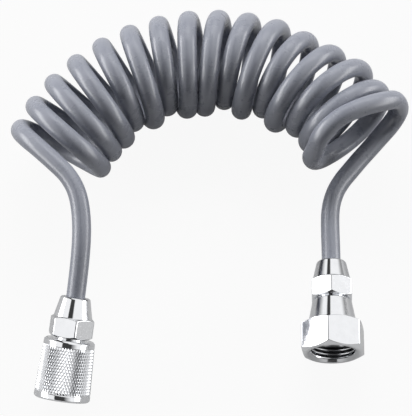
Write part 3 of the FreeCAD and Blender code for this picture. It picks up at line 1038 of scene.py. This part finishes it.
    def _knurl(self) -> Piece:
        """Makes the teeth of the knurl as one plain mesh.

        Returns:
            The piece.
        """
        tree, sizes = self._knurl_tree(), self._knurl_sizes()
        blank = bpy.data.objects.new("knurl_blank", bpy.data.meshes.new("knurl_blank"))
        bpy.context.scene.collection.objects.link(blank)
        modifier = blank.modifiers.new("knurl", "NODES")
        modifier.node_group = tree
        for item in tree.interface.items_tree:
            if item.in_out == "INPUT":
                modifier[item.identifier] = sizes[item.name]
        ready = blank.evaluated_get(bpy.context.evaluated_depsgraph_get())
        mesh = bpy.data.meshes.new_from_object(ready)
        bpy.data.objects.remove(blank)
        mesh.transform(self.axis.place(self.roll))
        # The teeth take the knurl's darker plate, whose colour is painted shade.
        return declared(
            placed("outlet_hand_nut_knurl", mesh, self.finishes.knurl_shaded_plate), Slot.CHROME, Body.OUTLET_NUT)

    def build(self) -> list[Piece]:
        """Makes the barrel and its knurl."""
        return [self._barrel(), self._knurl()]


# ---- hose ----


def eased(distance: np.ndarray, reach: float) -> np.ndarray:
    """Falls smoothly from 1 at no distance to 0 at the reach."""
    near = np.clip(1 - np.abs(distance) / reach, 0, 1)
    return near * near * (3 - 2 * near)


def heading(angle: np.ndarray) -> np.ndarray:
    """Level directions at angles from +Y towards +X."""
    return np.stack([np.sin(angle), np.cos(angle), 0 * angle], axis=1)


def unit(vectors: np.ndarray) -> np.ndarray:
    """Makes vectors one long."""
    return vectors / np.linalg.norm(vectors, axis=-1, keepdims=True)


def travelled(line: np.ndarray) -> np.ndarray:
    """How far along a line each of its points lies."""
    return np.concatenate([[0.0], np.cumsum(np.linalg.norm(np.diff(line, axis=0), axis=1))])


@dataclass
class CoiledHose:
    """The hose as one length: a tail, a long left-hand coil bent into an arch, a tail.

    Turns are counted from the outlet end.  Each leans and swings a little more towards
    the ends of the arch: the three angles, in degrees, are the most at the outlet end,
    the most at the inlet end, and the level that both are added to.  A few turns are
    tucked in, and the last ones are nudged out of line: each nudge has its turn, how
    many turns it reaches, and its shift.
    """

    outlet: CouplingAxis
    inlet: CouplingAxis
    finishes: Finishes
    diameter: float = 8.0
    hose_end: float = 12.4
    tail_straight: float = 5.0
    outlet_tail: tuple[Point, ...] = (
        (-49.3, 33.0, 38.6), (-49.7, 44.7, 41.0), (-51.5, 53.6, 42.2),
        (-55.4, 60.7, 42.8), (-60.4, 65.9, 43.0),
    )
    inlet_tail: tuple[Point, ...] = (
        (55.9, 49.4, 13.4), (56.2, 58.4, 12.8), (58.3, 66.0, 12.6), (61.7, 71.8, 12.6),
        (65.5, 76.4, 12.8), (69.2, 81.0, 13.2), (73.4, 85.6, 14.0), (77.8, 90.4, 15.4),
        (81.9, 94.5, 17.8), (85.1, 97.8, 21.6), (86.4, 99.4, 26.6), (85.7, 99.2, 32.2),
        (83.7, 98.7, 37.4), (79.8, 96.2, 41.2), (74.0, 93.6, 44.2), (67.4, 90.8, 45.2),
        (60.6, 87.6, 44.8), (54.8, 83.8, 42.4), (50.9, 80.1, 38.2),
    )
    arch_centre: Point = (5.27, 52.52, 23.39)
    arch_radius: float = 71.585
    arch_squash: float = 0.98
    arch_from: float = -71.31
    arch_to: float = 62.49
    crowding: tuple[float, ...] = (0.33, 0.54, 0.07)
    end_crowding: float = -2.81
    end_crowding_from: float = 13.5
    end_crowding_over: float = 2.0
    turn_span: float = 15.5
    first_turn: float = 0.28
    last_turn: float = 15.07
    turn_radius: float = 19.55
    points_per_turn: int = 16
    corner_gain: float = 1.0195
    lean: Point = (21.6, 0.53, 0.45)
    lean_power: float = 1.335
    swing: Point = (12.27, -14.54, 2.14)
    swing_power: float = 4.19
    tucked_turns: tuple[int, ...] = (5, 7, 10, 12, 14)
    tuck: float = 3.89
    tuck_reach: float = 0.35
    nudges: tuple[tuple[float, float, Point], ...] = (
        (11.5, 0.45, (0.0, -1.0, 0.0)), (12.0, 0.30, (-0.8, 0.0, 0.0)), (12.5, 0.45, (0.6, -0.9, 0.0)),
        (13.0, 0.30, (-0.9, 0.0, 0.0)), (13.5, 0.45, (2.2, 0.3, 0.0)), (14.0, 0.30, (0.9, 1.6, 0.0)),
        (14.25, 0.35, (0.2, 0.4, -2.8)), (14.5, 0.45, (2.0, -1.0, 0.0)), (14.8, 0.30, (0.2, 1.6, 0.0)),
        (15.0, 0.35, (-2.6, -0.9, 0.0)),
    )
    sides: int = 24
    spline_steps: int = 6
    flattening: float = 0.06
    bend_window: int = 19

    def _arch_angle(self, turn: np.ndarray) -> np.ndarray:
        """Finds the place along the arch.

        Args:
            turn: The turn counts.

        Returns:
            The angle at each, in degrees.
        """
        share = turn / self.turn_span
        angle = self.arch_from + (self.arch_to - self.arch_from) * share
        for number, amount in enumerate(self.crowding, start=1):
            angle = angle + amount * np.sin(number * math.pi * share)
        late = np.maximum((turn - self.end_crowding_from) / self.end_crowding_over, 0)
        return angle + self.end_crowding * late ** 2

    def _coil_points(self) -> np.ndarray:
        """Works out the coil's own points of the route.

        Returns:
            The points, in millimetres, from the outlet end.
        """
        count = int(round((self.last_turn - self.first_turn) * self.points_per_turn))
        turn = np.linspace(self.first_turn, self.last_turn, count + 1)
        arch = np.radians(self._arch_angle(turn))
        offset = 2 * turn / self.turn_span - 1
        to_ends = np.array([np.clip(-offset, 0, 1), np.clip(offset, 0, 1), np.ones_like(turn)])
        lean = -np.radians(self.lean @ to_ends ** self.lean_power)
        swing = arch + np.radians(self.swing @ to_ends ** self.swing_power)
        radius = self.turn_radius * self.corner_gain
        inward = -radius * np.cos(math.tau * turn)
        for number in self.tucked_turns:
            inward = inward + self.tuck * eased(turn - (number - 1), self.tuck_reach)
        up = radius * np.sin(math.tau * turn)
        points = self.arch_centre + self.arch_radius * heading(arch) * (1.0, self.arch_squash, 1.0)
        points += inward[:, None] * heading(swing)
        points += (up * np.sin(lean))[:, None] * heading(swing + math.pi / 2)
        points[:, 2] += up * np.cos(lean)
        for number, reach, shift in self.nudges:
            points += eased(turn - number, reach)[:, None] * shift
        return points

    def _route(self) -> list[Vector]:
        """Lists the route's points from inside one clamp nut to inside the other.

        Returns:
            The points, in metres.
        """
        by_hand = [*self.outlet_tail, *self._coil_points().tolist(), *reversed(self.inlet_tail)]
        return [
            self.outlet.at(self.hose_end), self.outlet.at(-self.tail_straight),
            *(Vector(point) * MM for point in by_hand),
            self.inlet.at(-self.tail_straight), self.inlet.at(self.hose_end),
        ]

    def _centreline(self) -> np.ndarray:
        """Reads the hose's line from its NURBS spline.

        Returns:
            The points that the spline passes, in metres.
        """
        route = self._route()
        curve = bpy.data.curves.new("hose_route", "CURVE")
        curve.dimensions = "3D"
        curve.resolution_u = self.spline_steps
        spline = curve.splines.new("NURBS")
        spline.points.add(len(route) - 1)
        for point, place in zip(spline.points, route):
            point.co = (*place, 1.0)
        spline.order_u = 3
        spline.use_endpoint_u = True
        holder = bpy.data.objects.new("hose_route", curve)
        line = bpy.data.meshes.new_from_object(holder)
        points = np.array([vertex.co for vertex in line.vertices])
        bpy.data.objects.remove(holder)
        bpy.data.meshes.remove(line)
        return points[np.diff(travelled(points), prepend=-1.0) > MERGE_DISTANCE / 2]

    def _bends(self, line: np.ndarray, tangents: np.ndarray) -> np.ndarray:
        """Works out which way the hose bends at each point.

        Args:
            line: The centreline, in metres.
            tangents: The line's directions.

        Returns:
            A vector to the inside of the bend, as long as 1 where it is as tight as a turn.
        """
        step = np.linalg.norm(np.gradient(line, axis=0), axis=1)[:, None]
        bends = np.gradient(tangents, axis=0) / step * self.turn_radius * MM
        window = np.hanning(self.bend_window)
        bends = np.stack([np.convolve(part, window / window.sum(), "same") for part in bends.T], axis=1)
        return bends / np.maximum(np.linalg.norm(bends, axis=1, keepdims=True), 1.0)

    def _rings(self, line: np.ndarray, angles: np.ndarray) -> np.ndarray:
        """Sets an untwisted ring round each point, a little flattened by its bend.

        Args:
            line: The centreline, in metres.
            angles: Where the points of each ring lie.

        Returns:
            The rings' points, ring after ring.
        """
        tangents = unit(np.gradient(line, axis=0))
        normal = unit(np.cross(tangents[0], (0.0, 0.0, 1.0)))
        rings = []
        for point, tangent, bend in zip(line, tangents, self._bends(line, tangents)):
            normal = unit(normal - tangent * (normal @ tangent))
            ring = np.outer(np.cos(angles), normal) + np.outer(np.sin(angles), np.cross(tangent, normal))
            ring *= self.diameter / 2 * MM
            across = np.cross(tangent, bend)
            ring += self.flattening * (np.outer(ring @ across, across) - np.outer(ring @ bend, bend))
            rings.append(point + ring)
        return np.concatenate(rings)

    def _tube(self, line: np.ndarray) -> Mesh:
        """Skins the line with a closed tube, whose chart runs round it and along it.

        Args:
            line: The centreline, in metres.

        Returns:
            The mesh.
        """
        sides, last = self.sides, len(line) - 1
        angles = np.arange(sides) * math.tau / sides
        travel = travelled(line) / (math.pi * self.diameter * MM)
        faces, chart = [], []
        for ring in range(last):
            for side in range(sides):
                here, beyond = ring * sides + side, ring * sides + (side + 1) % sides
                faces.append((here, beyond, beyond + sides, here + sides))
                for share, ahead in ((0, 0), (1, 0), (1, 1), (0, 1)):
                    chart.append(((side + share) / sides, travel[ring + ahead]))
        for ring, order in ((0, range(sides - 1, -1, -1)), (last, range(sides))):
            faces.append(tuple(ring * sides + side for side in order))
            chart += [(0.5 + 0.5 * math.cos(angle), travel[ring] + 0.5 * math.sin(angle))
                      for angle in angles[list(order)]]
        mesh = bpy.data.meshes.new("tube")
        mesh.from_pydata(self._rings(line, angles).tolist(), [], faces)
        mesh.uv_layers.new(name="tube").data.foreach_set("uv", np.array(chart, np.float32).ravel())
        mesh.polygons.foreach_set("use_smooth", [len(face) == 4 for face in faces])
        return mesh

    def build(self, fittings: Sequence[Piece]) -> Piece:
        """Args:
            fittings: The pieces of the coupling at its far end; not used.

        Returns:
            The piece.
        """
        line = self._centreline()
        piece = declared(
            placed("coiled_hose", self._tube(line), self.finishes.tubing),
            Slot.HOSE, Body.HOSE, "hose_coil", "inlet_hose_tail", "outlet_hose_tail")
        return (piece, tuple(self.outlet.at(0.0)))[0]


# ---- studio ----


def aimed(holder: Piece, place: Point, target: Point) -> Piece:
    """Hangs a lamp or the camera in the scene, turned to what it faces.

    Args:
        holder: Its object.
        place: Where it hangs.
        target: The point that it faces.

    Returns:
        The object.
    """
    holder.location = place
    holder.rotation_euler = (Vector(target) - Vector(place)).to_track_quat("-Z", "Y").to_euler()
    bpy.context.scene.collection.objects.link(holder)
    return holder


@dataclass(frozen=True)
class SoftBox:
    """A large rectangular lamp that faces the object; one that doesn't shine leaves no highlight."""

    name: str
    place: Point
    target: Point
    size: Span
    power: float
    shines: bool = True

    def build(self) -> None:
        """Hangs the lamp."""
        lamp = bpy.data.lights.new(self.name, "AREA")
        lamp.shape = "RECTANGLE"
        lamp.size, lamp.size_y = self.size
        lamp.energy = self.power
        holder = aimed(bpy.data.objects.new(self.name, lamp), self.place, self.target)
        holder.visible_glossy = self.shines


@dataclass
class Studio:
    """The floor, the lamps, the surroundings and the camera.

    The room that metal reflects is pale, with a dark gap in its ceiling.  Its edges are
    directions from -1 to 1, behind the camera and in front of it.  A ramp is the range
    that it runs over, and its values there where they aren't 0 and 1.
    """

    eye: Point = (0.00265, -0.4113, 1.1196)
    looks_at: Point = (0.00265, 0.05758, 0.015)
    sensor: float = 36.0
    lens: float = 241.5
    clip: Span = (0.05, 20.0)
    floor_half: float = 0.9
    floor_colour: Colour = (0.54, 0.54, 0.54)
    floor_shadow: float = 0.07
    floor_in_metal: float = 0.15
    ceiling_shade: float = 0.05
    side_turn: Span = (-0.35, -0.10)
    left_edges: Span = (-0.47, -0.40)
    left_ramp: Span = (-0.03, 0.03)
    right_edges: Span = (0.20, 0.02)
    right_fades: Span = (0.45, 0.08)
    right_ramp: Ramp = (0.50, 0.65, 0.0, -0.20)
    wall_height_ramp: Ramp = (0.20, 0.45, 0.7, 0.0)
    wall_ahead_ramp: Span = (0.45, 0.58)
    skirting_ramp: Ramp = (0.05, 0.15, 0.4, 0.0)
    fill_turn: Span = (-0.10, 0.80)
    fill_levels: Span = (0.02, 0.42)
    lamps: tuple[SoftBox, ...] = (
        SoftBox("left_soft_box", (-1.25, 0.15, 0.36), (0.0, 0.06, 0.0), (1.6, 0.60), 12.0),
        SoftBox("right_soft_box", (1.35, 0.15, 0.38), (0.0, 0.06, 0.0), (1.6, 0.64), 8.8),
        SoftBox("crown_soft_box", (0.0, 1.31, 1.02), (0.0, 0.08, 0.0), (1.4, 0.8), 23.5, shines=False),
    )

    def _floor(self) -> None:
        """Lays the plain white floor, which still takes the object's shadow."""
        half = self.floor_half
        mesh = bpy.data.meshes.new("floor")
        mesh.from_pydata(
            [(-half, -half, 0), (half, -half, 0), (half, half, 0), (-half, half, 0)], [], [(0, 1, 2, 3)])
        material, graph = new_material("white_floor")
        graph.tree.nodes.remove(graph.tree.nodes["Principled BSDF"])
        matt = graph.add("ShaderNodeBsdfDiffuse", {"Color": self.floor_colour})
        glow = graph.add("ShaderNodeEmission", {"Color": WHITE})
        camera, glossy = graph.sight()
        share = graph.larger(
            graph.times(camera, 1.0 - self.floor_shadow), graph.times(glossy, self.floor_in_metal))
        graph.into("Material Output", Surface=graph.choose(share, matt, glow))
        placed("floor", mesh, material)

    def _reflected_level(self, graph: Graph) -> Socket:
        """Works out how bright each direction is to metal.

        Args:
            graph: The world's graph.

        Returns:
            The level.
        """
        aside, ahead, height = graph.split(graph.add("ShaderNodeTexCoord")["Generated"])

        def turning(values: Span) -> Socket:
            """Changes from a value behind the camera to another in front of it."""
            return graph.spread(ahead, *self.side_turn, *values)

        right_edge = graph.plus(turning(self.right_edges), graph.spread(ahead, *self.right_ramp))
        from_left = graph.math("SUBTRACT", aside, turning(self.left_edges))
        from_right = graph.math("SUBTRACT", aside, right_edge)
        from_right = graph.math("DIVIDE", from_right, turning(self.right_fades))
        ceiling = graph.times(
            graph.spread(from_left, *self.left_ramp), graph.spread(from_right, 0.0, 1.0, 1.0, 0.0))
        far_wall = graph.times(
            graph.spread(height, *self.wall_height_ramp), graph.spread(ahead, *self.wall_ahead_ramp))
        skirting = graph.spread(height, *self.skirting_ramp)
        dark = graph.larger(ceiling, graph.larger(far_wall, skirting))
        return graph.spread(dark, 0.0, 1.0, 1.0, self.ceiling_shade)

    def _surroundings(self) -> None:
        """Sets a white background, the room that metal reflects, and a dim fill light."""
        world = bpy.data.worlds.new("studio")
        bpy.context.scene.world = world
        world.use_nodes = True
        graph = Graph(world.node_tree)
        ahead = graph.split(graph.add("ShaderNodeTexCoord")["Generated"])["Y"]
        levels = self._reflected_level(graph), graph.spread(ahead, *self.fill_turn, *self.fill_levels)
        room, fill = (
            graph.add("ShaderNodeBackground", {"Color": graph.vector(level, level, level)})
            for level in levels)
        graph.into("Background", Color=WHITE)
        white = graph.tree.nodes["Background"].outputs
        camera, glossy = graph.sight()
        graph.into("World Output", Surface=graph.choose(camera, graph.choose(glossy, fill, room), white))

    def _camera(self) -> None:
        """Sets up the camera."""
        data = bpy.data.cameras.new("camera")
        data.sensor_width = self.sensor
        data.lens = self.lens
        data.clip_start, data.clip_end = self.clip
        bpy.context.scene.camera = aimed(bpy.data.objects.new("camera", data), self.eye, self.looks_at)

    def build(self) -> None:
        """Makes the whole studio."""
        self._camera()
        self._floor()
        self._surroundings()
        for lamp in self.lamps:
            lamp.build()
        bpy.context.scene.view_settings.view_transform = "Standard"


# ---- the whole set ----


class HoseSet:
    """The hose and both couplings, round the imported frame."""

    def __init__(self, frame: dict[str, Any]) -> None:
        """Finds the axes and builds the materials.
        """
        self.nodes: dict[str, Piece] = frame["nodes"]
        self.axes = {side: CouplingAxis.from_record(side, frame["record"]) for side in Side}
        self.finishes = Finishes({side: axis.direction for side, axis in self.axes.items()})

    def _dress_cad_nodes(self) -> None:
        """Gives the CAD nodes that stay in sight their finishes."""
        finishes = self.finishes
        wear = {
            "inlet_stem": finishes.chrome, "outlet_stem": finishes.chrome,
            "inlet_ferrule": finishes.brass[Side.INLET], "outlet_ferrule": finishes.brass[Side.OUTLET],
            "inlet_washer": finishes.seal, "outlet_washer": finishes.seal, "outlet_o_ring": finishes.seal,
            "outlet_slip_ring": finishes.nylon, "outlet_snap_ring": finishes.spring_steel,
        }
        for name, material in wear.items():
            for slot in self.nodes[name].material_slots:
                slot.material = material
            LOG.info("%s: %s", name, material.name)

    def build(self) -> None:
        """Builds the couplings first, then the hose that runs between them."""
        inlet, outlet, finishes = self.axes[Side.INLET], self.axes[Side.OUTLET], self.finishes
        at_inlet = [ClampNut(inlet, finishes, roll=27.5).build(), UnionNut(inlet, finishes).build()]
        at_outlet = [ClampNut(outlet, finishes, roll=-13.0).build(), *HandNut(outlet, finishes).build()]
        self._dress_cad_nodes()
        hidden = [self.nodes[f"inlet_{part}"] for part in ("stem", "ferrule", "washer")]
        hose = CoiledHose(outlet, inlet, finishes).build([*at_inlet, *hidden])
        for piece in [*at_inlet, *at_outlet, hose]:
            LOG.info("%s: %d faces", piece.name, len(piece.data.polygons))


def main() -> None:
    """Loads the frame, builds the set and its studio."""
    logging.basicConfig(level=logging.INFO, format="%(name)s: %(message)s")
    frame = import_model()
    bpy.context.view_layer.update()
    HoseSet(frame).build()
    Studio().build()
    bpy.context.view_layer.update()


if __name__ == "__main__":
    main()
